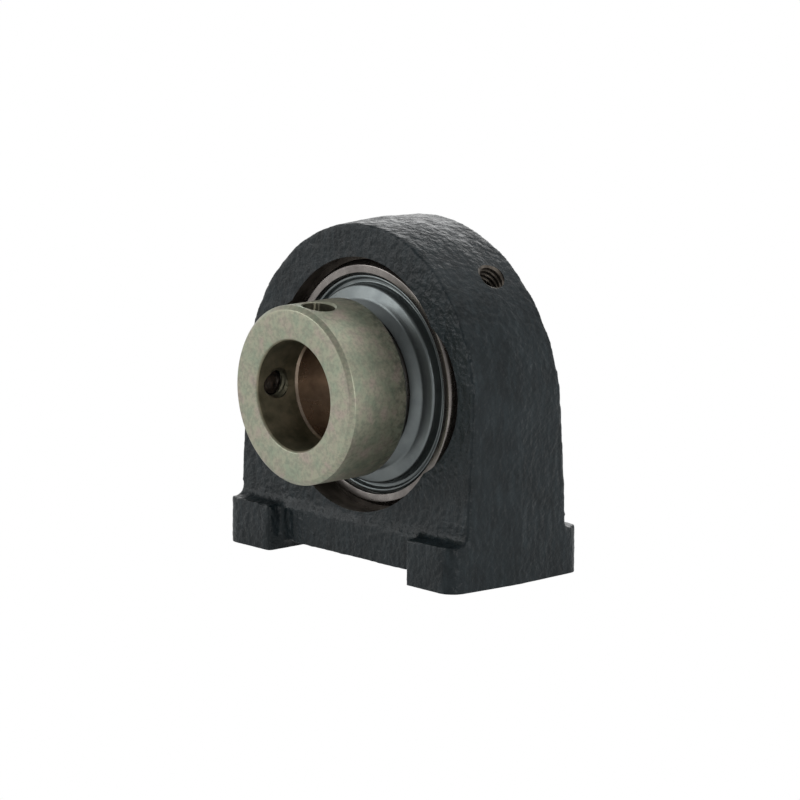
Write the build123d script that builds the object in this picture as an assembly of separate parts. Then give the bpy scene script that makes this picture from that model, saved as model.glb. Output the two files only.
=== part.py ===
from build123d import *
import os
from math import cos, hypot, radians, sin, sqrt, tan

# Short-base pillow block unit for a 20 mm shaft: a cast housing with a spherical
# seat, and a self-aligning ball bearing insert with an eccentric locking collar.
# Millimetres. X runs across the base, Y along the shaft with the collar at -Y, and
# Z up. The origin is the bearing's centre, on the shaft axis.

# Insert bearing, outwards from the shaft
shaft_d = 20.0              # bore of the inner ring
inner_wall = 2.75           # inner ring's wall under the raceway
ball_d = 7.938              # 5/16 inch
ball_count = 8
outer_wall = 2.75           # outer ring's wall over the raceway
race_clearance = 0.031      # ball to raceway, at each raceway
race_conformity = 0.525     # raceway radius over ball diameter
inner_shoulder = 1.05       # height of the inner ring's shoulders over its raceway
outer_shoulder = 1.50       # height of the outer ring's shoulders
outer_ring_w = 15.6
inner_ring_w = 34.0
ring_chamfer = 0.45
bore_chamfer = 0.5

# Relubrication groove and holes in the outer ring, beside the raceway
lube_groove_y = 3.9
lube_groove_w = 2.8
lube_groove_depth = 0.5
lube_hole_d = 1.4
lube_hole_y = 4.3

# Snap-in ball cage
cage_wall = 3.3             # radial thickness
cage_back = 0.8             # web behind each pocket
cage_horn = 1.9             # reach of the horns past the balls' centres
cage_play = 0.15            # ball to pocket
horn_gap = 1.9              # width of the slot between two horns
horn_gap_depth = 3.1
horn_round = 0.45

# Seals: a backing washer, a rubber lip and a formed cover washer on each side
seal_seat_land = 1.7        # flat end face of the outer ring, outside the seal's seat
seal_seat_depth = 2.3       # shoulder that the backing washer rests on, below the ring's end
backing_t = 0.45
backing_gap = 0.55          # backing washer to inner ring
cover_t = 0.45
cover_channel = 1.15        # width of the channel round the cover
cover_rim = 0.55            # width of the rolled rim
cover_rim_gap = 0.42        # rolled rim to seat
cover_rim_h = 1.35          # height of the rolled rim over the backing washer
cover_plate_h = 2.4         # height of the plate's outer edge over the backing washer
cover_dish = 0.5            # how much further out the plate's inner edge stands
cover_plate_w = 2.5
cover_flange_h = 1.6        # rise of the conical flange from there to the inner ring
cover_bore_gap = 0.35       # flange to inner ring
lip_t = 0.8
lip_play = 0.04             # lip to inner ring
lip_reach = 1.5             # height of the lip over the backing washer
lip_edge_t = 0.5

# Eccentric locking collar
collar_d = 33.0
collar_w = 13.6
collar_reach = 9.2          # how far the collar stands past the inner ring's end
collar_play = 0.15          # bore to shaft
eccentricity = 0.8
cam_play = 0.25             # eccentric recess to eccentric spigot, all round
cam_end_gap = 0.15          # end of the inner ring to the recess's floor
cam_shoulder_gap = 0.5      # collar's rear face to the inner ring's shoulder
collar_chamfer = 0.8
collar_rear_round = 1.0
drift_d = 6.0
drift_depth = 4.0
hole_countersink = 0.4      # on the drift hole and the grub screw's hole
drift_angle = 83.0          # from +X towards +Z
screw_angle = 178.0
screw_from_face = 4.6       # screw and drift hole, from the collar's front face

# Grub screw, M6 with a hexagon socket
screw_d = 6.0
screw_play = 0.05
screw_len = 5.0
screw_socket_af = 3.0
screw_socket_depth = 2.4
screw_tip_chamfer = 0.9
screw_cup_d = 2.6
screw_cup_floor_d = 0.4
screw_cup_depth = 0.7
screw_head_chamfer = 0.35
screw_sunk = 0.15           # outer end, below the collar's outside

# Housing casting
seat_play = 0.05            # spherical seat to outer ring
seat_land_y = 6.2           # half width of the spherical seat
seat_edge = 0.35            # cylindrical relief at each edge of the seat
mouth_step = 0.1            # mouth of the bore, wider than the outer ring's equator
mouth_draft = 5.0
arch_wall = 9.0             # arch's outside over the outer ring's equator
arch_drop = 2.4             # centre of the arch below the shaft axis
side_draft = 3.0            # from the parting plane towards each face
shaft_height = 33.3
body_half_w = 10.7          # half thickness of the body at the shaft's height
face_draft = 3.4            # body grows thicker downwards
foot_len = 32.0             # along the shaft
foot_w = 13.5
foot_h = 8.6
foot_corner = 3.6           # outer corners of the feet, seen from above
foot_inner_corner = 1.5
foot_edge = 0.55            # top edge of the feet and the rail
foot_root = 1.8             # feet into the body's faces
web_proud = 0.62            # rail between the feet, over the body's faces
web_root = 1.3              # rail into the feet, seen from above
base_relief = 1.6           # underside between the feet, over the feet
cast_edge = 0.8             # edge of the body's two faces

# Loading slots, through which the insert is turned into its seat
slot_play = 3.5             # beside the corners of the outer ring, as it goes in crosswise
slot_depth = 3.8            # beyond the outer ring's equator
slot_past_centre = 0.6

# Threads, as plain holes of their outside diameter
mount_thread_d = 8.0
mount_drill_d = 6.8
mount_thread_depth = 13.0
mount_spacing = 50.8
mount_countersink = 0.5
drill_point = 118.0
nipple_thread_d = 6.0
nipple_floor = 1.5          # metal between the thread's end and the seat
nipple_angle = 44.5         # from +X towards +Z
nipple_y = 2.8              # behind the housing's middle plane
nipple_drill_d = 3.0

# Derived radii, from the shaft outwards
shaft_r = shaft_d / 2
ball_r = ball_d / 2
inner_race_r = shaft_r + inner_wall
pitch_r = inner_race_r + race_clearance + ball_r
outer_race_r = pitch_r + ball_r + race_clearance
sphere_r = outer_race_r + outer_wall
race_r = race_conformity * ball_d
shoulder_r = inner_race_r + inner_shoulder
outer_land_r = outer_race_r - outer_shoulder
half_outer = outer_ring_w / 2
half_inner = inner_ring_w / 2
seal_seat_y = half_outer - seal_seat_depth
ring_face_r = sqrt(sphere_r ** 2 - half_outer ** 2)
seal_seat_r = ring_face_r - seal_seat_land
seat_r = sphere_r + seat_play
mouth_r = sphere_r + mouth_step
arch_r = sphere_r + arch_wall
base_half = arch_r                          # straight down from the arch's ends
foot_in = base_half - foot_w
foot_half = foot_len / 2
foot_top = foot_h - shaft_height
face_slope = tan(radians(face_draft))
foot_face = body_half_w - foot_top * face_slope     # body's half thickness at the feet's tops
web_half_w = foot_face + web_proud
notch = foot_half - web_half_w
cam_r = shoulder_r - eccentricity
collar_r = collar_d / 2
collar_bore_r = shaft_r + collar_play
collar_front = -(half_inner + collar_reach)
collar_rear = collar_front + collar_w
cam_w = collar_w - collar_reach + cam_shoulder_gap
screw_y = collar_front + screw_from_face


def turned(profile):
    """Solid of revolution about the shaft axis from a face drawn as (radius, y)."""
    return revolve(profile, Axis.Y, 360)


def outline(*points):
    """Face inside a closed run of straight lines."""
    return make_face(Polyline(*points, close=True))


def disc(radius, y0, y1):
    """Plain cylinder on the shaft axis from y0 to y1."""
    return turned(outline((0, y0), (radius, y0), (radius, y1), (0, y1)))


def tube(inner, outer, y0, y1):
    """Plain ring on the shaft axis from y0 to y1."""
    return turned(outline((inner, y0), (outer, y0), (outer, y1), (inner, y1)))


def radial_hole(angle, y, radius, r_from, r_to):
    """Cylinder square to the shaft axis, at an angle from +X towards +Z."""
    direction = Vector(cos(radians(angle)), 0, sin(radians(angle)))
    start = direction * r_from + Vector(0, y, 0)
    across = Plane(origin=start, x_dir=(0, 1, 0), z_dir=direction)
    return extrude(across * Circle(radius), r_to - r_from)


def radial_countersink(angle, y, radius, surface_r, depth):
    """Cone that opens a radial hole by as much as its depth, at the surface it starts from."""
    direction = Vector(cos(radians(angle)), 0, sin(radians(angle)))
    middle = Plane(origin=direction * surface_r + Vector(0, y, 0), x_dir=(0, 1, 0), z_dir=direction)
    return middle * Cone(radius, radius + 2 * depth, 2 * depth)


def outer_ring():
    """Hardened ring with a spherical outside, a raceway and a seat for each seal."""
    chamfer_y = half_outer - ring_chamfer
    chamfer_r = sqrt(sphere_r ** 2 - chamfer_y ** 2)
    groove_centre = outer_race_r - race_r
    groove_y = sqrt(race_r ** 2 - (outer_land_r - groove_centre) ** 2)
    lines = [
        Polyline(
            (seal_seat_r, -half_outer), (chamfer_r - ring_chamfer, -half_outer), (chamfer_r, -chamfer_y),
        ),
        ThreePointArc((chamfer_r, -chamfer_y), (sphere_r, 0), (chamfer_r, chamfer_y)),
        Polyline(
            (chamfer_r, chamfer_y), (chamfer_r - ring_chamfer, half_outer), (seal_seat_r, half_outer),
            (seal_seat_r, seal_seat_y), (outer_land_r, seal_seat_y), (outer_land_r, groove_y),
        ),
        ThreePointArc((outer_land_r, groove_y), (outer_race_r, 0), (outer_land_r, -groove_y)),
        Polyline(
            (outer_land_r, -groove_y), (outer_land_r, -seal_seat_y), (seal_seat_r, -seal_seat_y),
            (seal_seat_r, -half_outer),
        ),
    ]
    ring = turned(make_face(Curve() + lines))
    groove_y0 = lube_groove_y - lube_groove_w / 2
    floor_r = sqrt(sphere_r ** 2 - lube_groove_y ** 2) - lube_groove_depth
    ring -= tube(floor_r, sphere_r + outer_wall, groove_y0, groove_y0 + lube_groove_w)
    for angle in (nipple_angle, nipple_angle + 180):
        ring -= radial_hole(angle, lube_hole_y, lube_hole_d / 2, outer_land_r - outer_wall, sphere_r)
    return ring


def inner_ring():
    """Wide hardened ring, whose front end is an eccentric spigot for the collar."""
    groove_centre = inner_race_r + race_r
    groove_y = sqrt(race_r ** 2 - (groove_centre - shoulder_r) ** 2)
    cam_y = cam_w - half_inner
    c = bore_chamfer
    lines = [
        Polyline(
            (shaft_r, cam_y), (shoulder_r - c / 2, cam_y), (shoulder_r, cam_y + c / 2),
            (shoulder_r, -groove_y),
        ),
        ThreePointArc((shoulder_r, -groove_y), (inner_race_r, 0), (shoulder_r, groove_y)),
        Polyline(
            (shoulder_r, groove_y), (shoulder_r, half_inner - c), (shoulder_r - c, half_inner),
            (shaft_r, half_inner), (shaft_r, cam_y),
        ),
    ]
    ring = turned(make_face(Curve() + lines))
    spigot = Pos(0, 0, eccentricity) * disc(cam_r, -half_inner, cam_y)
    spigot = chamfer(spigot.edges().group_by(Axis.Y)[0], c)
    ring += spigot
    ring -= turned(outline(
        (0, -half_inner), (shaft_r + c, -half_inner), (shaft_r, c - half_inner), (shaft_r, half_inner - c),
        (shaft_r + c, half_inner), (0, half_inner),
    ))
    return ring


def ball(index):
    """One ball of the set."""
    angle = 90 + index * 360 / ball_count
    place = Vector(pitch_r * cos(radians(angle)), 0, pitch_r * sin(radians(angle)))
    return Pos(place) * Sphere(ball_r)


def ball_cage():
    """Moulded crown cage: a back ring with pairs of horns that snap over each ball."""
    pocket_r = ball_r + cage_play
    back_y = pocket_r + cage_back
    cage = tube(pitch_r - cage_wall / 2, pitch_r + cage_wall / 2, -cage_horn, back_y)
    rims = cage.edges().filter_by(GeomType.CIRCLE).group_by(Axis.Y)
    cage = fillet(rims[0] + rims[-1], horn_round)
    slot = Rot(90, 0, 0) * extrude(SlotOverall(2 * cage_wall, horn_gap), horn_gap_depth)
    slot = Pos(pitch_r, -cage_horn + horn_gap_depth, 0) * slot
    slot = fillet(slot.edges().group_by(Axis.Y)[-1], horn_round)
    for index in range(ball_count):
        turn = 90 + index * 360 / ball_count
        cage -= Rot(0, -turn, 0) * Pos(pitch_r, 0, 0) * Sphere(pocket_r)
        cage -= Rot(0, -turn - 180 / ball_count, 0) * slot
    return cage


def seal_backing():
    """Flat washer that rests on the outer ring's shoulder."""
    return tube(shoulder_r + backing_gap, seal_seat_r, seal_seat_y, seal_seat_y + backing_t)


def seal_lip():
    """Rubber ring between the two washers, with a lip that turns outwards at the inner ring."""
    y = seal_seat_y + backing_t
    clamped_r = seal_seat_r - cover_rim_gap - cover_rim - cover_channel - cover_t
    lip_r = shoulder_r + lip_play
    return turned(outline(
        (clamped_r, y), (clamped_r, y + lip_t), (lip_r + 2 * lip_edge_t, y + lip_t),
        (lip_r + lip_edge_t, y + lip_reach), (lip_r, y + lip_reach), (lip_r, y + lip_reach - lip_edge_t),
        (lip_r + lip_edge_t, y),
    ))


def seal_cover():
    """Formed washer: rolled rim, channel, dished plate, and a flange that rises to its bore."""
    t = cover_t
    bend = cover_t / 3
    y = seal_seat_y + backing_t
    rim_r = seal_seat_r - cover_rim_gap
    rim_in = rim_r - cover_rim
    plate_r = rim_in - cover_channel
    step_r = plate_r - cover_plate_w
    bore_r = shoulder_r + cover_bore_gap
    rim_y = y + cover_rim_h
    plate_y = y + cover_plate_h
    dish_y = plate_y + cover_dish
    flange_y = dish_y + cover_flange_h
    slope = cover_flange_h / (step_r - bore_r)
    flange_t = t * hypot(1, slope)
    cover = outline(
        (plate_r - t, y), (seal_seat_r, y), (seal_seat_r, y + t), (rim_r, y + 1.5 * t), (rim_r, rim_y),
        (rim_in, rim_y), (rim_in - bend, y + t), (plate_r + bend, y + t), (plate_r, plate_y),
        (step_r, dish_y), (bore_r, flange_y), (bore_r, flange_y - flange_t),
        (step_r - (flange_t - t) / slope, dish_y - t), (plate_r - t, plate_y - t),
    )
    rim_corners = cover.vertices().sort_by_distance((rim_r - cover_rim / 2, rim_y))[0:2]
    cover = fillet(rim_corners, 0.45 * cover_rim)
    cover = fillet(cover.vertices().sort_by_distance((plate_r, plate_y))[0], 0.8 * t)
    cover = fillet(cover.vertices().sort_by_distance((step_r, dish_y))[0], 0.4 * t)
    return turned(cover)


def locking_collar():
    """Collar with an eccentric recess, a blind drift hole and a grub screw's thread."""
    collar = disc(collar_r, collar_front, collar_rear)
    ends = collar.edges().group_by(Axis.Y)
    collar = chamfer(ends[0], collar_chamfer)
    collar = fillet(collar.edges().group_by(Axis.Y)[-1], collar_rear_round)
    collar -= disc(collar_bore_r, collar_front, collar_rear)
    collar = chamfer(collar.edges().group_by(Axis.Y)[0].sort_by(SortBy.RADIUS)[0], bore_chamfer)
    floor_y = -half_inner - cam_end_gap
    collar -= Pos(0, 0, eccentricity) * disc(cam_r + cam_play, floor_y, collar_rear)
    collar -= radial_hole(drift_angle, screw_y, drift_d / 2, collar_r - drift_depth, 2 * collar_r)
    collar -= radial_hole(screw_angle, screw_y, screw_d / 2, 0, 2 * collar_r)
    for angle, radius in ((drift_angle, drift_d / 2), (screw_angle, screw_d / 2)):
        collar -= radial_countersink(angle, screw_y, radius, collar_r, hole_countersink)
    return collar


def grub_screw():
    """Set screw with a hexagon socket outside and a cup point towards the shaft."""
    radius = screw_d / 2 - screw_play
    screw = Cylinder(radius, screw_len, align=(Align.CENTER, Align.CENTER, Align.MIN))
    screw = chamfer(screw.edges().group_by(Axis.Z)[0], screw_tip_chamfer)
    screw = chamfer(screw.edges().group_by(Axis.Z)[-1], screw_head_chamfer)
    cup = Cone(screw_cup_d / 2, screw_cup_floor_d / 2, screw_cup_depth)
    socket = extrude(RegularPolygon(screw_socket_af / 2, 6, major_radius=False), screw_socket_depth)
    screw -= Pos(0, 0, screw_cup_depth / 2) * cup
    screw -= Pos(0, 0, screw_len - screw_socket_depth) * socket
    direction = Vector(cos(radians(screw_angle)), 0, sin(radians(screw_angle)))
    tip = direction * (collar_r - screw_sunk - screw_len) + Vector(0, screw_y, 0)
    return Plane(origin=tip, x_dir=(0, 1, 0), z_dir=direction) * screw


def arch_blank():
    """Solid arch with upright sides, narrowing from the parting plane to both ends."""
    below = shaft_height + foot_half * tan(radians(side_draft)) + cast_edge
    shoulder = (arch_r, -arch_drop)
    heel = (base_half, -below)
    profile = make_face(Curve() + [
        Line(heel, shoulder),
        ThreePointArc(shoulder, (0, arch_r - arch_drop), (-shoulder[0], shoulder[1])),
        Polyline((-shoulder[0], shoulder[1]), (-heel[0], heel[1]), heel),
    ])
    half = extrude(Plane.XZ * profile, foot_half, taper=side_draft)
    below_base = Box(4 * base_half, 2 * foot_len, 2 * foot_h, align=(Align.CENTER, Align.CENTER, Align.MAX))
    return half + mirror(half, Plane.XZ) - Pos(0, 0, -shaft_height) * below_base


def face_y(z):
    """Half thickness of the body between its two drafted faces, at a height."""
    return body_half_w - z * face_slope


def body_wedge():
    """Upright part of the casting, unlimited sideways: thicker below than at the top."""
    low_z = -shaft_height - foot_edge
    top_z = arch_r + foot_edge
    low_w = face_y(low_z)
    top_w = face_y(top_z)
    profile = outline((-low_w, low_z), (low_w, low_z), (top_w, top_z), (-top_w, top_z))
    return extrude(Plane.YZ * profile, 2 * base_half, both=True)


def base_plate():
    """Feet and the rail between them in one height, unlimited sideways."""
    bar = Rectangle(4 * base_half, foot_len)
    for side in (-1, 1):
        gap = Rectangle(2 * foot_in, foot_len, align=(Align.CENTER, Align.MIN))
        bar -= Rot(0, 0, 90 - 90 * side) * Pos(0, web_half_w, 0) * gap
    middle = bar.vertices().filter_by(lambda corner: abs(corner.X) < base_half)
    inner = [corner for corner in middle if abs(corner.Y) > foot_half - notch / 2]
    bar = fillet(inner, min(foot_inner_corner, 0.5 * notch))
    middle = bar.vertices().filter_by(lambda corner: abs(corner.X) < base_half)
    roots = [corner for corner in middle if abs(corner.Y) < web_half_w + notch / 4]
    bar = fillet(roots, min(web_root, 0.45 * notch))
    return extrude(Pos(0, 0, -shaft_height) * bar, foot_h)


def foot_root_bars(blank):
    """Concave roots that blend the tops of the feet into the two faces of the body."""
    low_z = foot_top - foot_edge
    high_z = foot_top + 1.3 * foot_root
    inside = foot_face - foot_edge
    reach = foot_face + 1.3 * foot_root
    profile = outline(
        (inside, low_z), (reach, low_z), (reach, foot_top), (foot_face, foot_top),
        (face_y(high_z), high_z), (inside, high_z),
    )
    corner = profile.vertices().sort_by_distance((foot_face, foot_top))[0]
    profile = fillet(corner, foot_root)
    narrow = foot_half * tan(radians(side_draft))
    bar = Pos(foot_in + web_root, 0, 0) * extrude(Plane.YZ * profile, foot_w)
    plan = RectangleRounded(2 * (base_half - narrow), foot_len, foot_corner)
    pair = bar & blank & extrude(plan, shaft_height, both=True)
    pair += mirror(pair, Plane.XZ)
    return pair + mirror(pair, Plane.YZ)


def casting():
    """Rough casting: arched body on two feet, with every cast edge rounded."""
    blank = arch_blank()
    solid = blank & (body_wedge() + base_plate())
    corners = [
        edge for edge in solid.edges()
        if abs(edge.center().Y) > foot_half - 0.1 and abs(edge.center().X) > foot_in + foot_w / 2
        and edge.bounding_box().size.Z > foot_h / 2
    ]
    solid = fillet(corners, min(foot_corner, 0.95 * (foot_half - foot_face)))
    plate_top = solid.edges().filter_by(lambda edge: abs(edge.center().Z - foot_top) < 0.01)
    plate_top = [edge for edge in plate_top if edge.length < 2 * foot_in]
    solid = fillet(plate_top, min(foot_edge, 0.9 * web_proud))
    rims = [
        edge for edge in solid.edges()
        if edge.center().Z > foot_top + 0.1 and abs(edge.center().Y) > body_half_w / 2
    ]
    solid = fillet(rims, cast_edge)
    solid += foot_root_bars(blank)
    relief = Box(2 * foot_in, foot_len, 2 * base_relief)
    solid -= Pos(0, 0, -shaft_height) * relief
    return solid


def bearing_bore():
    """Space for the insert: a spherical seat between two short undercut mouths."""
    edge_y = seat_land_y - seat_edge
    edge_r = sqrt(seat_r ** 2 - edge_y ** 2)
    deep_r = mouth_r + (body_half_w - seat_land_y) * tan(radians(mouth_draft))
    far_r = mouth_r - (foot_half - body_half_w) * tan(radians(mouth_draft))
    lines = [
        Polyline(
            (0, -foot_half), (far_r, -foot_half), (deep_r, -seat_land_y), (edge_r, -seat_land_y),
            (edge_r, -edge_y),
        ),
        ThreePointArc((edge_r, -edge_y), (seat_r, 0), (edge_r, edge_y)),
        Polyline(
            (edge_r, edge_y), (edge_r, seat_land_y), (deep_r, seat_land_y), (far_r, foot_half),
            (0, foot_half), (0, -foot_half),
        ),
    ]
    return turned(make_face(Curve() + lines))


def loading_slots():
    """Round pocket on each side, from the front face to the middle, that the insert's ends pass."""
    reach = sphere_r + slot_depth
    rise = reach - ring_face_r
    half = half_outer + slot_play
    radius = (rise ** 2 + half ** 2) / (2 * rise)
    pocket = disc(radius, -foot_half, slot_past_centre)
    return Pos(reach - radius, 0, 0) * pocket + Pos(radius - reach, 0, 0) * pocket


def mount_hole():
    """Blind threaded hole from below, with its drill point and countersink."""
    radius = mount_thread_d / 2
    drill_r = mount_drill_d / 2
    point = drill_r / tan(radians(drill_point / 2))
    drawing = outline(
        (0, 0), (radius + mount_countersink, 0), (radius, mount_countersink), (radius, mount_thread_depth),
        (drill_r, mount_thread_depth), (0, mount_thread_depth + point),
    )
    return Pos(0, 0, -shaft_height) * revolve(Plane.XZ * drawing, Axis.Z, 360)


def nipple_hole():
    """Threaded relubrication hole in the arch, and the drilling from it to the seat."""
    floor_r = seat_r + nipple_floor
    hole = radial_hole(nipple_angle, nipple_y, nipple_thread_d / 2, floor_r, arch_r + arch_wall)
    return hole + radial_hole(nipple_angle, nipple_y, nipple_drill_d / 2, seat_land_y, floor_r + nipple_floor)


def housing():
    """Machined casting: spherical seat, loading slots, base threads and nipple thread."""
    solid = casting()
    solid -= bearing_bore()
    solid -= loading_slots()
    for side in (-1, 1):
        solid -= Pos(side * mount_spacing / 2, 0, 0) * mount_hole()
    return solid - nipple_hole()


def build_all():
    """Every sub-part by node name."""
    nodes = {"housing": housing(), "outer_ring": outer_ring(), "inner_ring": inner_ring()}
    nodes["ball_cage"] = ball_cage()
    for index in range(ball_count):
        nodes[f"ball_{index + 1}"] = ball(index)
    for name, solid in (("backing_washer", seal_backing()), ("lip", seal_lip()), ("cover", seal_cover())):
        nodes[f"rear_seal_{name}"] = solid
        nodes[f"front_seal_{name}"] = mirror(solid, Plane.XZ)
    nodes["locking_collar"] = locking_collar()
    nodes["grub_screw"] = grub_screw()
    return nodes


os.makedirs("parts", exist_ok=True)
for node, solid in build_all().items():
    export_step(solid, f"parts/{node}.step")
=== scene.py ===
import math

import bpy
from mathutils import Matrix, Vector


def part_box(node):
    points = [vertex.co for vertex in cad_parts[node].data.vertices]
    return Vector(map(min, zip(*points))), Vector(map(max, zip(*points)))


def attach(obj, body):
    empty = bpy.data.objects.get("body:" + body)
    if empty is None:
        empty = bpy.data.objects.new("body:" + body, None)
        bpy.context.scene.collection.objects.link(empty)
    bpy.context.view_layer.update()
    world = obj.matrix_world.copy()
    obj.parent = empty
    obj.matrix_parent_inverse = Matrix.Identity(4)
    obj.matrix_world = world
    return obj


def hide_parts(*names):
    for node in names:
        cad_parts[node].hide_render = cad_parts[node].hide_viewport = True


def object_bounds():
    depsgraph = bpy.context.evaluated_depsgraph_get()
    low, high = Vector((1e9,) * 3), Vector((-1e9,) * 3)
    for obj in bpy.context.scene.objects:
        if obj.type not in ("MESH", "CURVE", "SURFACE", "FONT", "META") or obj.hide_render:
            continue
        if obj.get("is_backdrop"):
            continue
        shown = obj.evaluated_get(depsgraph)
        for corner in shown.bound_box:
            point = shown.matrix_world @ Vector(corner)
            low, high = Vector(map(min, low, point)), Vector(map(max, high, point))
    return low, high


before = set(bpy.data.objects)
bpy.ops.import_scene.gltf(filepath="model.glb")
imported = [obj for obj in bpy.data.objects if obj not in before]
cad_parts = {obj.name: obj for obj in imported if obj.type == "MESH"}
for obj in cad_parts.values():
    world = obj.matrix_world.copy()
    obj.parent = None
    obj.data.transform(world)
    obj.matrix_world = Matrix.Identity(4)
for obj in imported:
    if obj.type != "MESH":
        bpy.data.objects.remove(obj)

cad_low, cad_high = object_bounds()
MM = 0.001
WELD = 0.0005 * MM    # vertices closer than this are one
PAST = 1 * MM         # how far a cutting tool reaches past what it cuts
ROUND_SIDES = 256     # sides of the large round pieces

# ---------------------------------------------------------------------------
# Camera: a long lens without roll, 11 degrees above the shaft, on the side of the
# locking collar and the grease hole. The bearing's centre lands at a chosen
# point of an 800 x 800 image.
# ---------------------------------------------------------------------------
camera_distance = 1.0
camera_azimuth = math.radians(48.65)
camera_elevation = math.radians(10.85)
focal_pixels = 5431.0
image_pixels = 800
centre_pixel = (401.3, 378.4)

away = Vector((
    math.sin(camera_azimuth) * math.cos(camera_elevation),
    -math.cos(camera_azimuth) * math.cos(camera_elevation),
    math.sin(camera_elevation),
))
facing = away.to_track_quat("Z", "Y")
pixel_size = camera_distance / focal_pixels
sideways = (centre_pixel[0] - image_pixels / 2) * pixel_size
upwards = (image_pixels / 2 - centre_pixel[1]) * pixel_size

camera_data = bpy.data.cameras.new("camera")
camera_data.sensor_width = 36.0
camera_data.lens = focal_pixels * camera_data.sensor_width / image_pixels
camera_data.clip_start = 0.05
camera_data.clip_end = 20.0
camera = bpy.data.objects.new("camera", camera_data)
bpy.context.collection.objects.link(camera)
camera.rotation_mode = "QUATERNION"
camera.rotation_quaternion = facing
camera.location = away * camera_distance - facing @ Vector((sideways, upwards, 0.0))
bpy.context.scene.camera = camera


# ---------------------------------------------------------------------------
# Housing: one grey iron casting, an arch on two feet with a thin rail between
# them. Its outside is as cast, under dark blue-grey paint; the bore, the
# loading slots, the threads and the soles of the feet are machined bare.
# ---------------------------------------------------------------------------
arch_radius = 32.5 * MM
arch_drop = 2.4 * MM
side_draft = math.radians(3.0)
face_half_width = 10.7 * MM
face_draft = math.radians(3.4)
foot_width = 13.5 * MM
foot_height = 8.6 * MM
foot_corner = 3.06 * MM
rail_half_width = 12.85 * MM
underside_relief = 1.6 * MM
leg_overlap = 0.5 * MM
casting_grain = 0.40 * MM
softening_passes = 5
root_passes = 22
root_reach = 3.2 * MM
root_height = 2.2 * MM
root_inset = 1.2 * MM
sand_wave_size = 4.5 * MM
sand_wave_depth = 0.16 * MM
sand_grain_size = 1.25 * MM
sand_grain_depth = 0.17 * MM
sand_level = 0.70

sole_z = cad_low.z
base_half = cad_high.x
foot_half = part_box("housing")[1].y
foot_top_z = sole_z + foot_height
underside_z = sole_z + underside_relief


def pick_only(*pieces):
    """Object mode, with only these pieces selected and the first one active."""
    if bpy.context.object and bpy.context.object.mode != "OBJECT":
        bpy.ops.object.mode_set(mode="OBJECT")
    bpy.ops.object.select_all(action="DESELECT")
    for piece in pieces:
        piece.select_set(True)
    bpy.context.view_layer.objects.active = pieces[0]


def edit_all(piece):
    """Edit mode on one piece, with all of it selected."""
    pick_only(piece)
    bpy.ops.object.mode_set(mode="EDIT")
    bpy.ops.mesh.select_all(action="SELECT")


def leave_edit():
    bpy.ops.object.mode_set(mode="OBJECT")


def edit_some(piece, kind, wanted):
    """Edit mode on one piece, with only those vertices or edges selected that are wanted."""
    edit_all(piece)
    bpy.ops.mesh.select_mode(type=kind)
    bpy.ops.mesh.select_all(action="DESELECT")
    leave_edit()
    for item in piece.data.edges if kind == "EDGE" else piece.data.vertices:
        item.select = wanted(item)
    bpy.ops.object.mode_set(mode="EDIT")


def place_in_mesh(piece):
    """Moves an object's place, turn and size into its mesh."""
    pick_only(piece)
    bpy.ops.object.transform_apply(location=True, rotation=True, scale=True)


def block(name, low, high):
    """Box between two corners."""
    low = Vector(low)
    high = Vector(high)
    bpy.ops.object.select_all(action="DESELECT")
    bpy.ops.mesh.primitive_cube_add(size=1.0, location=(low + high) / 2)
    piece = bpy.context.object
    piece.name = name
    piece.scale = high - low
    place_in_mesh(piece)
    return piece


def rod(name, radius, length, sides=96):
    """Plain cylinder along +Z from z = 0."""
    bpy.ops.object.select_all(action="DESELECT")
    bpy.ops.mesh.primitive_cylinder_add(
        vertices=sides, radius=radius, depth=length, location=(0, 0, length / 2),
    )
    piece = bpy.context.object
    piece.name = name
    place_in_mesh(piece)
    return piece


def point(name, wide, narrow, length):
    """Cone along +Z from z = 0, from its wide end to its narrow one."""
    bpy.ops.object.select_all(action="DESELECT")
    bpy.ops.mesh.primitive_cone_add(
        vertices=96, radius1=wide, radius2=narrow, depth=length, location=(0, 0, length / 2),
    )
    piece = bpy.context.object
    piece.name = name
    place_in_mesh(piece)
    return piece


def aim(piece, start, direction):
    """Turns a piece made along +Z to a direction, from a start point."""
    piece.rotation_mode = "QUATERNION"
    piece.rotation_quaternion = Vector(direction).to_track_quat("Z", "Y")
    piece.location = start
    place_in_mesh(piece)


def cut_off(piece, place, outward):
    """Cuts away what lies beyond a plane and closes the cut."""
    edit_all(piece)
    bpy.ops.mesh.bisect(
        plane_co=place, plane_no=outward, use_fill=True, clear_outer=True, threshold=0.001 * MM,
    )
    leave_edit()


def apply_modifier(piece, kind, **settings):
    """Adds one modifier with these settings and applies it."""
    pick_only(piece)
    modifier = piece.modifiers.new(kind.lower(), kind)
    for key, value in settings.items():
        setattr(modifier, key, value)
    bpy.ops.object.modifier_apply(modifier=modifier.name)


def combine(piece, tool, operation, finish):
    """Cuts, adds or keeps the tool's shape; the new faces take its finish."""
    tool.data.materials.append(finish)
    apply_modifier(
        piece, "BOOLEAN", operation=operation, object=tool, solver="EXACT", material_mode="TRANSFER",
    )
    bpy.data.objects.remove(tool)


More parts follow.
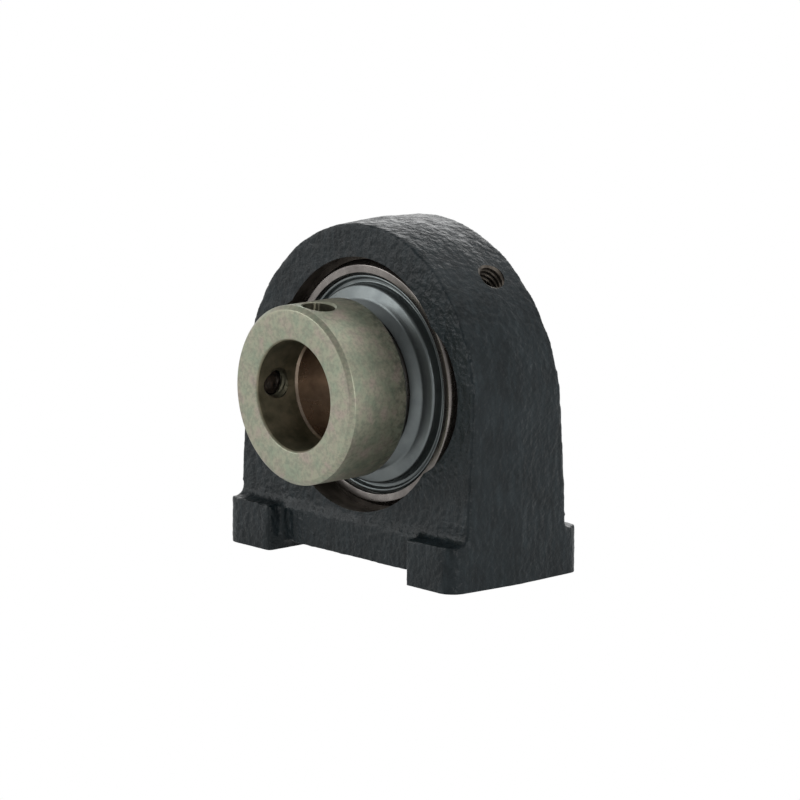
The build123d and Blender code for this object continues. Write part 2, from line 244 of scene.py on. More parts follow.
def turned(name, profile, rounds=()):
    """Ring or solid turned about the shaft's axis from a closed run of (radius, y) points.

    rounds holds (point, offset) pairs: the corner at that point is rounded from that
    far along each side.
    """
    bpy.ops.object.select_all(action="DESELECT")
    bpy.ops.mesh.primitive_circle_add(vertices=len(profile), radius=1.0, fill_type="NOTHING")
    piece = bpy.context.object
    piece.name = name
    for vertex, (radius, y) in zip(piece.data.vertices, profile):
        vertex.co = (radius, y, 0.0)
    for (radius, y), offset in rounds:
        corner = Vector((radius, y, 0.0))
        nearest = min(piece.data.vertices, key=lambda vertex: (vertex.co - corner).length).index
        edit_some(piece, "VERT", lambda vertex: vertex.index == nearest)
        bpy.ops.mesh.bevel(offset=offset, segments=4, affect="VERTICES", clamp_overlap=True)
        leave_edit()
    edit_all(piece)
    bpy.ops.mesh.spin(steps=ROUND_SIDES, angle=2 * math.pi, center=(0, 0, 0), axis=(0, 1, 0))
    bpy.ops.mesh.select_all(action="SELECT")
    bpy.ops.mesh.remove_doubles(threshold=WELD)
    bpy.ops.mesh.normals_make_consistent(inside=False)
    leave_edit()
    return piece


def arc(centre_radius, radius, low_y, high_y, side=1, steps=24):
    """(radius, y) points of an arc centred on y = 0, from low_y to high_y, bulging out or in."""
    start = math.asin(low_y / radius)
    end = math.asin(high_y / radius)
    angles = [start + (end - start) * step / steps for step in range(steps + 1)]
    return [(centre_radius + side * radius * math.cos(angle), radius * math.sin(angle)) for angle in angles]


def finish_edges(piece, degrees=30):
    """Smooth shading, broken at sharper edges."""
    pick_only(piece)
    bpy.ops.object.shade_smooth_by_angle(angle=math.radians(degrees))


def material(name, metallic, roughness):
    """Node material with its shader; returns the material, its node tree, shader and object coordinates."""
    made = bpy.data.materials.new(name)
    made.use_nodes = True
    tree = made.node_tree
    shader = tree.nodes["Principled BSDF"]
    shader.inputs["Metallic"].default_value = metallic
    shader.inputs["Roughness"].default_value = roughness
    return made, tree, shader, tree.nodes.new("ShaderNodeTexCoord").outputs["Object"]


def noise_node(tree, place, size, detail=3.0, roughness=0.5, stretch=(1, 1, 1)):
    """Noise with features about `size` across; a stretch under 1 draws them out along that axis."""
    spread = tree.nodes.new("ShaderNodeMapping")
    spread.inputs["Scale"].default_value = stretch
    tree.links.new(place, spread.inputs["Vector"])
    made = tree.nodes.new("ShaderNodeTexNoise")
    made.inputs["Scale"].default_value = 1.0 / size
    made.inputs["Detail"].default_value = detail
    made.inputs["Roughness"].default_value = roughness
    tree.links.new(spread.outputs["Vector"], made.inputs["Vector"])
    return made.outputs["Fac"]


def ramp_node(tree, value, *stops):
    """Colour ramp through (position, colour) stops."""
    made = tree.nodes.new("ShaderNodeValToRGB")
    elements = made.color_ramp.elements
    while len(elements) < len(stops):
        elements.new(0.5)
    for element, (position, colour) in zip(elements, stops):
        element.position = position
        element.color = (*colour, 1.0)
    tree.links.new(value, made.inputs["Fac"])
    return made.outputs["Color"]


def range_node(tree, value, low_in, high_in, low_out, high_out):
    """Maps a value's range to another, with its ends held."""
    made = tree.nodes.new("ShaderNodeMapRange")
    ends = (("From Min", low_in), ("From Max", high_in), ("To Min", low_out), ("To Max", high_out))
    for key, number in ends:
        made.inputs[key].default_value = number
    tree.links.new(value, made.inputs["Value"])
    return made.outputs["Result"]


def blend_node(tree, mask, first, second):
    """Colour that goes from the first to the second as the mask goes from 0 to 1."""
    made = tree.nodes.new("ShaderNodeMix")
    made.data_type = "RGBA"
    tree.links.new(mask, made.inputs["Factor"])
    for socket, colour in ((made.inputs[6], first), (made.inputs[7], second)):
        if isinstance(colour, tuple):
            socket.default_value = (*colour, 1.0)
        else:
            tree.links.new(colour, socket)
    return made.outputs[2]


def maths_node(tree, operation, first, second):
    """One sum; each side is a number or a socket."""
    made = tree.nodes.new("ShaderNodeMath")
    made.operation = operation
    for socket, value in zip(made.inputs, (first, second)):
        if isinstance(value, (int, float)):
            socket.default_value = value
        else:
            tree.links.new(value, socket)
    return made.outputs["Value"]


def bump_node(tree, height, depth, normal=None):
    """Bump of a real depth for heights from 0 to 1."""
    made = tree.nodes.new("ShaderNodeBump")
    made.inputs["Strength"].default_value = 1.0
    made.inputs["Distance"].default_value = depth
    tree.links.new(height, made.inputs["Height"])
    if normal is not None:
        tree.links.new(normal, made.inputs["Normal"])
    return made.outputs["Normal"]


# Turned surfaces, a group that every machined finish shares: the place on the
# surface as (radius, y), and fine rings about the shaft's axis.
turned_surface = bpy.data.node_groups.new("turned_surface", "ShaderNodeTree")
turned_surface.interface.new_socket("Vector", in_out="INPUT", socket_type="NodeSocketVector")
turned_surface.interface.new_socket("Pitch", in_out="INPUT", socket_type="NodeSocketFloat")
for label in ("Radius", "Along", "Rings"):
    turned_surface.interface.new_socket(label, in_out="OUTPUT", socket_type="NodeSocketFloat")
group_in = turned_surface.nodes.new("NodeGroupInput")
group_out = turned_surface.nodes.new("NodeGroupOutput")
split = turned_surface.nodes.new("ShaderNodeSeparateXYZ")
turned_surface.links.new(group_in.outputs["Vector"], split.inputs["Vector"])
across = turned_surface.nodes.new("ShaderNodeCombineXYZ")
turned_surface.links.new(split.outputs["X"], across.inputs["X"])
turned_surface.links.new(split.outputs["Z"], across.inputs["Y"])
length = turned_surface.nodes.new("ShaderNodeVectorMath")
length.operation = "LENGTH"
turned_surface.links.new(across.outputs["Vector"], length.inputs[0])
unrolled = turned_surface.nodes.new("ShaderNodeCombineXYZ")
turned_surface.links.new(length.outputs["Value"], unrolled.inputs["X"])
turned_surface.links.new(split.outputs["Y"], unrolled.inputs["Y"])
ring_noise = turned_surface.nodes.new("ShaderNodeTexNoise")
ring_noise.inputs["Detail"].default_value = 2.0
turned_surface.links.new(unrolled.outputs["Vector"], ring_noise.inputs["Vector"])
rings_per_metre = maths_node(turned_surface, "DIVIDE", 1.0, group_in.outputs["Pitch"])
turned_surface.links.new(rings_per_metre, ring_noise.inputs["Scale"])
turned_surface.links.new(length.outputs["Value"], group_out.inputs["Radius"])
turned_surface.links.new(split.outputs["Y"], group_out.inputs["Along"])
turned_surface.links.new(ring_noise.outputs["Fac"], group_out.inputs["Rings"])


def turned_node(tree, place, pitch):
    """The turned-surface group, with rings about `pitch` apart."""
    made = tree.nodes.new("ShaderNodeGroup")
    made.node_tree = turned_surface
    made.inputs["Pitch"].default_value = pitch
    tree.links.new(place, made.inputs["Vector"])
    return made.outputs


# Paint over the cast skin: dark blue-grey, uneven in colour and in gloss.
paint_thin = (0.0036, 0.0066, 0.0079)
paint_thick = (0.0097, 0.0150, 0.0174)
paint_streak = (0.0185, 0.0270, 0.0310)

casting_paint, tree, shader, place = material("casting_paint", 0.0, 0.4)
shader.inputs["Specular IOR Level"].default_value = 0.22
patches = noise_node(tree, place, 6 * MM, detail=5.0, roughness=0.6)
coat = ramp_node(tree, patches, (0.34, paint_thin), (0.68, paint_thick))
runs = noise_node(tree, place, 1.1 * MM, detail=4.0, roughness=0.6, stretch=(1, 1, 0.22))
coat = blend_node(tree, range_node(tree, runs, 0.48, 0.72, 0.0, 0.6), coat, paint_streak)
tree.links.new(coat, shader.inputs["Base Color"])
gloss = noise_node(tree, place, 2.2 * MM)
tree.links.new(range_node(tree, gloss, 0.3, 0.7, 0.30, 0.48), shader.inputs["Roughness"])
skin = noise_node(tree, place, 1.15 * MM, detail=2.0, roughness=0.45)
pits = noise_node(tree, place, 0.32 * MM, detail=2.0, roughness=0.6)
peel = bump_node(tree, skin, 0.34 * MM)
tree.links.new(bump_node(tree, pits, 0.035 * MM, peel), shader.inputs["Normal"])

# Bare iron where the boring bar and the milling cutter have been: brown, with rings.
iron_dark = (0.038, 0.031, 0.024)
iron_middle = (0.080, 0.068, 0.057)
iron_bright = (0.150, 0.130, 0.112)

bored_iron, tree, shader, place = material("bored_iron", 0.7, 0.42)
surface = turned_node(tree, place, 0.6 * MM)
stain = noise_node(tree, place, 3.5 * MM, detail=4.0, roughness=0.65)
iron = ramp_node(tree, stain, (0.3, iron_dark), (0.55, iron_middle), (0.8, iron_bright))
tree.links.new(iron, shader.inputs["Base Color"])
tree.links.new(range_node(tree, stain, 0.3, 0.7, 0.52, 0.36), shader.inputs["Roughness"])
tree.links.new(bump_node(tree, surface["Rings"], 0.012 * MM), shader.inputs["Normal"])

# Cut threads: iron with rust in patches.
thread_dark = (0.034, 0.028, 0.022)
thread_bright = (0.125, 0.108, 0.090)

threaded_iron, tree, shader, place = material("threaded_iron", 0.75, 0.38)
rust = noise_node(tree, place, 1.5 * MM, detail=4.0, roughness=0.6)
tree.links.new(ramp_node(tree, rust, (0.3, thread_dark), (0.7, thread_bright)), shader.inputs["Base Color"])
tree.links.new(range_node(tree, rust, 0.3, 0.7, 0.46, 0.28), shader.inputs["Roughness"])


def draw_in(piece, upright):
    """Parting line at y = 0, and both ends drawn in by the casting's draft."""
    edit_all(piece)
    bpy.ops.mesh.bisect(plane_co=(0, 0, 0), plane_no=(0, 1, 0))
    edit_some(piece, "VERT", lambda vertex: abs(vertex.co.y) > foot_half / 2)
    shrink = 1 - foot_half * math.tan(side_draft) / arch_radius
    height_shrink = 1.0 if upright else shrink
    bpy.ops.transform.resize(value=(shrink, 1.0, height_shrink), center_override=(0, 0, -arch_drop))
    leave_edit()


# The arch is half a cylinder along the shaft, on upright legs.
bpy.ops.object.select_all(action="DESELECT")
bpy.ops.mesh.primitive_cylinder_add(
    vertices=ROUND_SIDES, radius=arch_radius, depth=2 * foot_half, location=(0, 0, -arch_drop),
    rotation=(math.pi / 2, 0, 0),
)
casting = bpy.context.object
casting.name = "casting"
place_in_mesh(casting)
cut_off(casting, (0, 0, -arch_drop), (0, 0, -1))
draw_in(casting, upright=False)

legs_top_z = leg_overlap - arch_drop
legs = block("legs", (-base_half, -foot_half, underside_z), (base_half, foot_half, legs_top_z))
draw_in(legs, upright=True)

for piece in (casting, legs):
    for side in (-1, 1):
        outward = (0, side * math.cos(face_draft), math.sin(face_draft))
        cut_off(piece, (0, side * face_half_width, 0), outward)

inner_x = base_half - foot_width
rail_end = inner_x + PAST
rail = block("rail", (-rail_end, -rail_half_width, underside_z), (rail_end, rail_half_width, foot_top_z))



def outer_corner(piece, edge):
    """Whether an edge of a foot is one of its upright outer corners."""
    start, end = [piece.data.vertices[index].co for index in edge.vertices]
    outside = abs(start.y) > foot_half / 2 and abs(start.x) > inner_x + foot_width / 2
    return outside and abs(start.z - end.z) > foot_height


# The feet start below the sole, which is cut flat later.
feet = []
for side in (-1, 1):
    inner = side * inner_x
    outer = side * base_half
    low = (min(inner, outer), -foot_half, sole_z - 2 * PAST)
    foot = block("foot", low, (max(inner, outer), foot_half, foot_top_z))
    for end in (-1, 1):
        cut_off(foot, (outer, 0, 0), (side * math.cos(side_draft), end * math.sin(side_draft), 0))
    edit_some(foot, "EDGE", lambda edge: outer_corner(foot, edge))
    bpy.ops.mesh.bevel(offset=foot_corner, segments=10, affect="EDGES")
    leave_edit()
    feet.append(foot)

# One skin over all of it, softened as a sand mould leaves it, then roughened.
pick_only(casting, legs, rail, *feet)
bpy.ops.object.join()
apply_modifier(casting, "REMESH", mode="VOXEL", voxel_size=casting_grain, use_smooth_shade=True)
apply_modifier(casting, "SMOOTH", factor=0.5, iterations=softening_passes)
roots = casting.vertex_groups.new(name="roots")
for vertex in casting.data.vertices:
    x, y, z = abs(vertex.co.x), abs(vertex.co.y), vertex.co.z
    at_feet = abs(x - inner_x) < root_reach and y > rail_half_width - 2 * MM
    at_top = abs(z - foot_top_z) < root_height and y < foot_half - root_inset
    if at_top or at_feet and z < foot_top_z + root_height:
        roots.add([vertex.index], 1.0, "REPLACE")
apply_modifier(casting, "SMOOTH", factor=0.5, iterations=root_passes, vertex_group="roots")
for label, size, depth in (
    ("sand_waves", sand_wave_size, sand_wave_depth),
    ("sand_grains", sand_grain_size, sand_grain_depth),
):
    pattern = bpy.data.textures.new(label, "CLOUDS")
    pattern.noise_scale = size
    pattern.noise_depth = 2
    apply_modifier(
        casting, "DISPLACE", texture=pattern, strength=depth, mid_level=sand_level, texture_coords="LOCAL",
    )

# Soles of the feet, milled flat.
casting.data.materials.append(casting_paint)
casting.data.materials.append(bored_iron)
cut_off(casting, (0, 0, sole_z), (0, 0, -1))
for face in casting.data.polygons:
    if face.normal.z < -0.99 and face.center.z < sole_z + 0.01 * MM:
        face.material_index = 1

# Bore: a spherical seat between two short undercut mouths.
seat_radius = 23.55 * MM
seat_half = 6.2 * MM
seat_relief = 0.35 * MM
mouth_radius = 23.35 * MM
mouth_draft = math.radians(8.0)
mouth_deep = mouth_radius + (face_half_width - seat_half) * math.tan(mouth_draft)
mouth_far = mouth_radius - (foot_half - face_half_width) * math.tan(mouth_draft)
seat = arc(0.0, seat_radius, seat_relief - seat_half, seat_half - seat_relief)
front_mouth = [(0.0, -foot_half), (mouth_far, -foot_half), (mouth_deep, -seat_half), (seat[0][0], -seat_half)]
rear_mouth = [(seat[-1][0], seat_half), (mouth_deep, seat_half), (mouth_far, foot_half), (0.0, foot_half)]
combine(casting, turned("bore", front_mouth + seat + rear_mouth), "DIFFERENCE", bored_iron)

# Loading slots in front, round pockets: the insert goes in crosswise and turns into its seat.
slot_reach = 27.3 * MM
slot_radius = 15.0 * MM
slot_end = 0.6 * MM
for side in (-1, 1):
    pocket = rod("slot", slot_radius, foot_half + slot_end, sides=160)
    aim(pocket, (side * (slot_reach - slot_radius), slot_end, 0), (0, -1, 0))
    combine(casting, pocket, "DIFFERENCE", bored_iron)


def thread_tool(name, radius, pitch, depth, crest, length):
    """Threaded rod along +Z from z = 0: 60-degree ridges, flat for `crest`, on a core."""
    core = radius - depth
    flank = depth * math.tan(math.radians(30))
    root = pitch - crest - 2 * flank
    run = [(core, 0.0), (core, root), (radius, root + flank), (radius, root + flank + crest), (core, pitch)]
    lead_in = 1.5 * pitch
    bpy.ops.object.select_all(action="DESELECT")
    bpy.ops.mesh.primitive_circle_add(vertices=len(run), radius=1.0, fill_type="NOTHING")
    piece = bpy.context.object
    piece.name = name
    for vertex, (reach, height) in zip(piece.data.vertices, run):
        vertex.co = (reach, 0.0, height - lead_in)
    edit_some(piece, "EDGE", lambda edge: set(edge.vertices) == {0, len(run) - 1})
    bpy.ops.mesh.delete(type="EDGE")
    leave_edit()
    apply_modifier(
        piece, "SCREW", axis="Z", angle=2 * math.pi, screw_offset=pitch, steps=48, render_steps=48,
        iterations=math.ceil((length + lead_in) / pitch) + 1, use_merge_vertices=False,
    )
    edit_all(piece)
    bpy.ops.mesh.remove_doubles(threshold=WELD)
    leave_edit()
    cut_off(piece, (0, 0, 0), (0, 0, -1))
    cut_off(piece, (0, 0, length), (0, 0, 1))
    edit_all(piece)
    bpy.ops.mesh.normals_make_consistent(inside=False)
    leave_edit()
    return piece


# Grease hole, tapped M6 x 1 through the arch's upper right, and the drilling to the seat.
nipple_angle = math.radians(44.5)
nipple_y = 2.8 * MM
nipple_floor = 25.05 * MM
nipple_radius = 3.0 * MM
nipple_drill_radius = 1.5 * MM
m6_pitch = 1.0 * MM
m6_depth = 0.54 * MM
nipple_out = Vector((math.cos(nipple_angle), 0, math.sin(nipple_angle)))
nipple_line = Vector((0, nipple_y, 0))
nipple_thread = thread_tool("nipple_thread", nipple_radius, m6_pitch, m6_depth, 0.125 * MM, 9 * MM)
aim(nipple_thread, nipple_out * nipple_floor + nipple_line, nipple_out)
combine(casting, nipple_thread, "DIFFERENCE", threaded_iron)
nipple_drill = rod("nipple_drill", nipple_drill_radius, 10 * MM, sides=48)
aim(nipple_drill, nipple_out * (nipple_floor - 9 * MM) + nipple_line, nipple_out)
combine(casting, nipple_drill, "DIFFERENCE", threaded_iron)

# Tapped M8 holes from below, one in each foot, with their countersinks and drill points.
mount_spacing = 50.8 * MM
mount_depth = 13 * MM
mount_radius = 4.0 * MM
mount_drill = 3.4 * MM
m8_pitch = 1.25 * MM
m8_depth = 0.675 * MM
countersink = 0.5 * MM
for side in (-1, 1):
    mouth = Vector((side * mount_spacing / 2, 0, sole_z))
    mount_thread = thread_tool(
        "mount_thread", mount_radius, m8_pitch, m8_depth, 0.156 * MM, mount_depth + PAST,
    )
    aim(mount_thread, mouth - Vector((0, 0, PAST)), (0, 0, 1))
    combine(casting, mount_thread, "DIFFERENCE", threaded_iron)
    drill_point = point("drill_point", mount_drill, 0.0, 0.6 * mount_drill)
    aim(drill_point, mouth + Vector((0, 0, mount_depth - 0.01 * MM)), (0, 0, 1))
    combine(casting, drill_point, "DIFFERENCE", threaded_iron)
    rim = point("rim", mount_radius + 2 * countersink, mount_radius - countersink, 3 * countersink)
    aim(rim, mouth - Vector((0, 0, countersink)), (0, 0, 1))
    combine(casting, rim, "DIFFERENCE", threaded_iron)

finish_edges(casting, 32)
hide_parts("housing")
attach(casting, "housing")


# ---------------------------------------------------------------------------
# Outer ring of the insert: hardened steel, ground, with a spherical outside that
# swivels in the housing, a raceway, seats for the seals, and a groove with two
# holes that take the grease in.
# ---------------------------------------------------------------------------
sphere_radius = 23.5 * MM
outer_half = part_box("outer_ring")[1].y
ring_chamfer = 0.45 * MM
ring_edge = 0.12 * MM
ring_chamfer_edge = 0.1 * MM
seal_seat_radius = 20.468 * MM
seal_seat_y = outer_half - 2.3 * MM
outer_land = 19.25 * MM
race_radius = 4.167 * MM
outer_race_centre = 16.583 * MM
outer_race_half = 3.2 * MM
groove_low = 2.5 * MM
groove_high = 5.3 * MM
groove_floor = 22.674 * MM
lube_hole_radius = 0.7 * MM
lube_hole_y = 4.3 * MM

steel_grey = (0.17, 0.155, 0.145)
steel_light = (0.27, 0.25, 0.235)


def ground_steel(name, pitch, ring_depth, light, dark, metallic=0.95, low=0.22, high=0.36, drawn=0.0):
    """Ground or turned steel: fine rings about the shaft, and a thin uneven film of oil.

    drawn stretches its highlights across the rings, up to 1.
    """
    made, tree, shader, place = material(name, metallic, 0.3)
    surface = turned_node(tree, place, pitch)
    film = noise_node(tree, place, 5 * MM, detail=4.0, roughness=0.6)
    shade = ramp_node(tree, film, (0.3, dark), (0.65, light))
    tree.links.new(shade, shader.inputs["Base Color"])
    tree.links.new(range_node(tree, film, 0.3, 0.7, high, low), shader.inputs["Roughness"])
    tree.links.new(bump_node(tree, surface["Rings"], ring_depth), shader.inputs["Normal"])
    around = tree.nodes.new("ShaderNodeTangent")
    around.direction_type = "RADIAL"
    around.axis = "Y"
    tree.links.new(around.outputs["Tangent"], shader.inputs["Tangent"])
    shader.inputs["Anisotropic"].default_value = drawn
    return made


ring_steel = ground_steel("ring_steel", 0.25 * MM, 0.006 * MM, steel_light, steel_grey, drawn=0.7)

chamfer_y = outer_half - ring_chamfer
before_groove = arc(0.0, sphere_radius, -chamfer_y, groove_low, steps=40)
after_groove = arc(0.0, sphere_radius, groove_high, chamfer_y, steps=8)
outer_race = arc(outer_race_centre, race_radius, outer_race_half, -outer_race_half)
profile = [(seal_seat_radius, -outer_half), (before_groove[0][0] - ring_chamfer, -outer_half)]
profile += before_groove
profile += [(groove_floor, groove_low), (groove_floor, groove_high)]
profile += after_groove
profile += [(after_groove[-1][0] - ring_chamfer, outer_half), (seal_seat_radius, outer_half)]
profile += [(seal_seat_radius, seal_seat_y), (outer_land, seal_seat_y)]
profile += outer_race
profile += [(outer_land, -seal_seat_y), (seal_seat_radius, -seal_seat_y)]
outer_ring = turned("outer_ring_ground", profile, rounds=(
    ((seal_seat_radius, -outer_half), ring_edge),
    ((seal_seat_radius, outer_half), ring_edge),
    ((before_groove[0][0] - ring_chamfer, -outer_half), ring_chamfer_edge),
    ((after_groove[-1][0] - ring_chamfer, outer_half), ring_chamfer_edge),
))
outer_ring.data.materials.append(ring_steel)
for way in (1, -1):
    hole = rod("lube_hole", lube_hole_radius, 8 * MM, sides=32)
    aim(hole, way * nipple_out * 17 * MM + Vector((0, lube_hole_y, 0)), way * nipple_out)
    combine(outer_ring, hole, "DIFFERENCE", ring_steel)
finish_edges(outer_ring)
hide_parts("outer_ring")
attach(outer_ring, "insert")


# ---------------------------------------------------------------------------
# Inner ring: hardened steel, wider than the outer one, ground outside and in the
# bore. Its front end is an eccentric spigot that the locking collar grips. The
# bore has gone brown from old oil.
# ---------------------------------------------------------------------------
inner_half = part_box("inner_ring")[1].y
shaft_radius = 10.0 * MM
shoulder_radius = 13.8 * MM
inner_race_centre = 16.917 * MM
inner_race_half = 2.766 * MM
spigot_radius = 13.0 * MM
eccentricity = 0.8 * MM
spigot_y = -12.1 * MM
bore_chamfer = 0.5 * MM

oil_brown = (0.165, 0.125, 0.092)
oil_light = (0.310, 0.245, 0.190)

inner_steel = ground_steel("inner_ring_steel", 0.3 * MM, 0.004 * MM, steel_light, steel_grey)
bore_steel = ground_steel("bore_steel", 0.5 * MM, 0.003 * MM, oil_light, oil_brown)

inner_race = arc(inner_race_centre, race_radius, -inner_race_half, inner_race_half, side=-1)
profile = [(0.0, spigot_y), (shoulder_radius, spigot_y)]
profile += inner_race
profile += [(shoulder_radius, inner_half), (0.0, inner_half)]
inner_ring = turned("inner_ring_ground", profile, rounds=(
    ((shoulder_radius, spigot_y), 0.25 * MM),
    ((shoulder_radius, inner_half), 0.5 * MM),
))
spigot = rod("spigot", spigot_radius, inner_half + spigot_y + PAST, sides=ROUND_SIDES)
aim(spigot, (0, spigot_y + PAST, eccentricity), (0, -1, 0))
inner_ring.data.materials.append(inner_steel)
combine(inner_ring, spigot, "UNION", inner_steel)
past_end = inner_half + PAST
past_chamfer = shaft_radius + bore_chamfer + PAST
bore = turned("shaft_bore", [
    (0.0, -past_end), (past_chamfer, -past_end),
    (shaft_radius, bore_chamfer - inner_half), (shaft_radius, inner_half - bore_chamfer),
    (past_chamfer, past_end), (0.0, past_end),
])
combine(inner_ring, bore, "DIFFERENCE", bore_steel)
finish_edges(inner_ring)
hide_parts("inner_ring")
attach(inner_ring, "inner_ring")


# ---------------------------------------------------------------------------
# Seals, one on each side: a rubber lip clamped between a flat backing washer and
# a formed cover, both of zinc-plated sheet steel, rolled into the outer ring.
# The washers and the lips are hidden behind the covers.
# ---------------------------------------------------------------------------
sheet = 0.45 * MM
cover_seat_y = seal_seat_y + sheet
rim_outside = seal_seat_radius - 0.42 * MM
rim_inside = rim_outside - 0.55 * MM
rim_y = cover_seat_y + 1.35 * MM
plate_radius = rim_inside - 1.15 * MM
plate_y = cover_seat_y + 2.4 * MM
step_radius = plate_radius - 2.5 * MM
step_y = plate_y + 0.5 * MM
flange_radius = shoulder_radius + 0.35 * MM
flange_y = step_y + 1.6 * MM
bend = sheet / 3

zinc_light = (0.165, 0.183, 0.182)
zinc_dark = (0.125, 0.141, 0.144)

seal_zinc = ground_steel(
    "seal_zinc", 0.5 * MM, 0.006 * MM, zinc_light, zinc_dark, metallic=0.9, low=0.30, high=0.40,
)

cover_profile = [
    (plate_radius - sheet, cover_seat_y), (seal_seat_radius, cover_seat_y),
    (seal_seat_radius, cover_seat_y + sheet),
    (rim_outside, cover_seat_y + 1.5 * sheet), (rim_outside, rim_y), (rim_inside, rim_y),
    (rim_inside - bend, cover_seat_y + sheet), (plate_radius + bend, cover_seat_y + sheet),
    (plate_radius, plate_y), (step_radius, step_y), (flange_radius, flange_y),
    (flange_radius, flange_y - 1.37 * sheet), (step_radius - 0.4 * sheet, step_y - sheet),
    (plate_radius - sheet, plate_y - sheet),
]
cover_rounds = (
    ((rim_outside, rim_y), 0.24 * MM),
    ((rim_inside, rim_y), 0.24 * MM),
    ((rim_inside - bend, cover_seat_y + sheet), 0.25 * MM),
    ((plate_radius + bend, cover_seat_y + sheet), 0.25 * MM),
    ((plate_radius, plate_y), 0.42 * MM),
    ((step_radius, step_y), 0.3 * MM),
    ((flange_radius, flange_y), 0.08 * MM),
)
for node, side in (("rear_seal_cover", 1), ("front_seal_cover", -1)):
    cover = turned(
        node + "_formed",
        [(radius, side * y) for radius, y in cover_profile],
        rounds=[((radius, side * y), offset) for (radius, y), offset in cover_rounds],
    )
    cover.data.materials.append(seal_zinc)
    finish_edges(cover)
    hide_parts(node)
    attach(cover, "insert")

seal_rubber, tree, shader, place = material("seal_rubber", 0.0, 0.6)
bloom = noise_node(tree, place, 2.5 * MM, detail=4.0)
shade = ramp_node(tree, bloom, (0.3, (0.012, 0.012, 0.012)), (0.7, (0.03, 0.03, 0.03)))
tree.links.new(shade, shader.inputs["Base Color"])
tree.links.new(range_node(tree, bloom, 0.3, 0.7, 0.5, 0.7), shader.inputs["Roughness"])

for side in ("front", "rear"):
    for part, finish in (("backing_washer", seal_zinc), ("lip", seal_rubber)):
        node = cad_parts[f"{side}_seal_{part}"]
        node.data.materials.clear()
        node.data.materials.append(finish)


# ---------------------------------------------------------------------------
# Balls and cage, inside the insert: polished chrome steel balls, smeared with
# grease, in a snap-in cage moulded of natural polyamide.
# ---------------------------------------------------------------------------
ball_steel, tree, shader, place = material("ball_steel", 1.0, 0.08)
smear = noise_node(tree, place, 2 * MM, detail=3.0)
shade = ramp_node(tree, smear, (0.3, (0.62, 0.61, 0.58)), (0.7, (0.74, 0.74, 0.73)))
tree.links.new(shade, shader.inputs["Base Color"])
tree.links.new(range_node(tree, smear, 0.35, 0.7, 0.05, 0.2), shader.inputs["Roughness"])

cage_polyamide, tree, shader, place = material("cage_polyamide", 0.0, 0.45)
flow = noise_node(tree, place, 3 * MM, detail=4.0, stretch=(1, 0.3, 1))
shade = ramp_node(tree, flow, (0.3, (0.55, 0.47, 0.33)), (0.7, (0.68, 0.61, 0.46)))
tree.links.new(shade, shader.inputs["Base Color"])
tree.links.new(range_node(tree, flow, 0.3, 0.7, 0.35, 0.5), shader.inputs["Roughness"])
grain = noise_node(tree, place, 0.2 * MM, detail=2.0)
tree.links.new(bump_node(tree, grain, 0.01 * MM), shader.inputs["Normal"])

for name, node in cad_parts.items():
    if name.startswith("ball_"):
        node.data.materials.clear()
        node.data.materials.append(cage_polyamide if name == "ball_cage" else ball_steel)


# ---------------------------------------------------------------------------
# Locking collar: turned steel, zinc plated and passivated to a mottled greenish
# grey. Its recess grips the eccentric spigot when it is turned with a drift in
# the blind hole, and a grub screw keeps it there.
# ---------------------------------------------------------------------------
collar_radius = 16.5 * MM
collar_front = cad_low.y
collar_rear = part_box("locking_collar")[1].y
collar_bore = 10.15 * MM
collar_chamfer = 0.8 * MM
collar_bore_chamfer = 0.35 * MM
collar_edge = 0.12 * MM
collar_rear_round = 1.0 * MM
recess_radius = 13.25 * MM
recess_y = -17.15 * MM
hole_y = collar_front + 4.6 * MM
drift_angle = math.radians(83)
hole_radius = 3.0 * MM
drift_depth = 4.0 * MM
screw_angle = math.radians(178)
hole_countersink = 0.4 * MM

plate_green = (0.275, 0.315, 0.230)
plate_straw = (0.336, 0.334, 0.250)
plate_pink = (0.360, 0.308, 0.258)
# Painted shade: the next two colours darken the collar's bore to stand for the shade inside it.
plate_bore_shade = (0.112, 0.110, 0.070)
plate_bore_shade_light = (0.225, 0.200, 0.136)
plate_dull = (0.160, 0.168, 0.140)
plate_rear_dark = (0.070, 0.073, 0.060)
# Painted reflection: a near-black colour for the collar's rounded rear edge, standing for the dark housing
# mirrored in it.
plate_housing_reflection = (0.010, 0.010, 0.009)

collar_plating, tree, shader, place = material("collar_plating", 0.76, 0.42)
surface = turned_node(tree, place, 0.35 * MM)
tint = noise_node(tree, place, 3.2 * MM, detail=4.0, roughness=0.62)
mottle = ramp_node(tree, tint, (0.34, plate_green), (0.52, plate_straw), (0.66, plate_pink))
speckle = noise_node(tree, place, 0.7 * MM, detail=3.0, roughness=0.6)
dulled = blend_node(tree, range_node(tree, speckle, 0.42, 0.62, 0.0, 0.42), mottle, plate_dull)
# Darker in patches towards the collar's rear end, next to the seal.
near_rear = range_node(tree, surface["Along"], collar_rear - 5.5 * MM, collar_rear - 0.5 * MM, 0.0, 1.0)
rear_patches = noise_node(tree, place, 1.3 * MM, detail=5.0, roughness=0.68)
rear_darkening = maths_node(tree, "MULTIPLY", range_node(tree, rear_patches, 0.42, 0.66, 0.0, 0.85), near_rear)
darkened_to_rear = blend_node(tree, rear_darkening, dulled, plate_rear_dark)
# Painted reflection: the last part of the rounded rear edge is painted near black for the dark housing that
# it mirrors.
rear_edge = range_node(tree, surface["Along"], collar_rear - 0.75 * MM, collar_rear - 0.45 * MM, 0.0, 1.0)
painted_rear_reflection = blend_node(tree, rear_edge, darkened_to_rear, plate_housing_reflection)
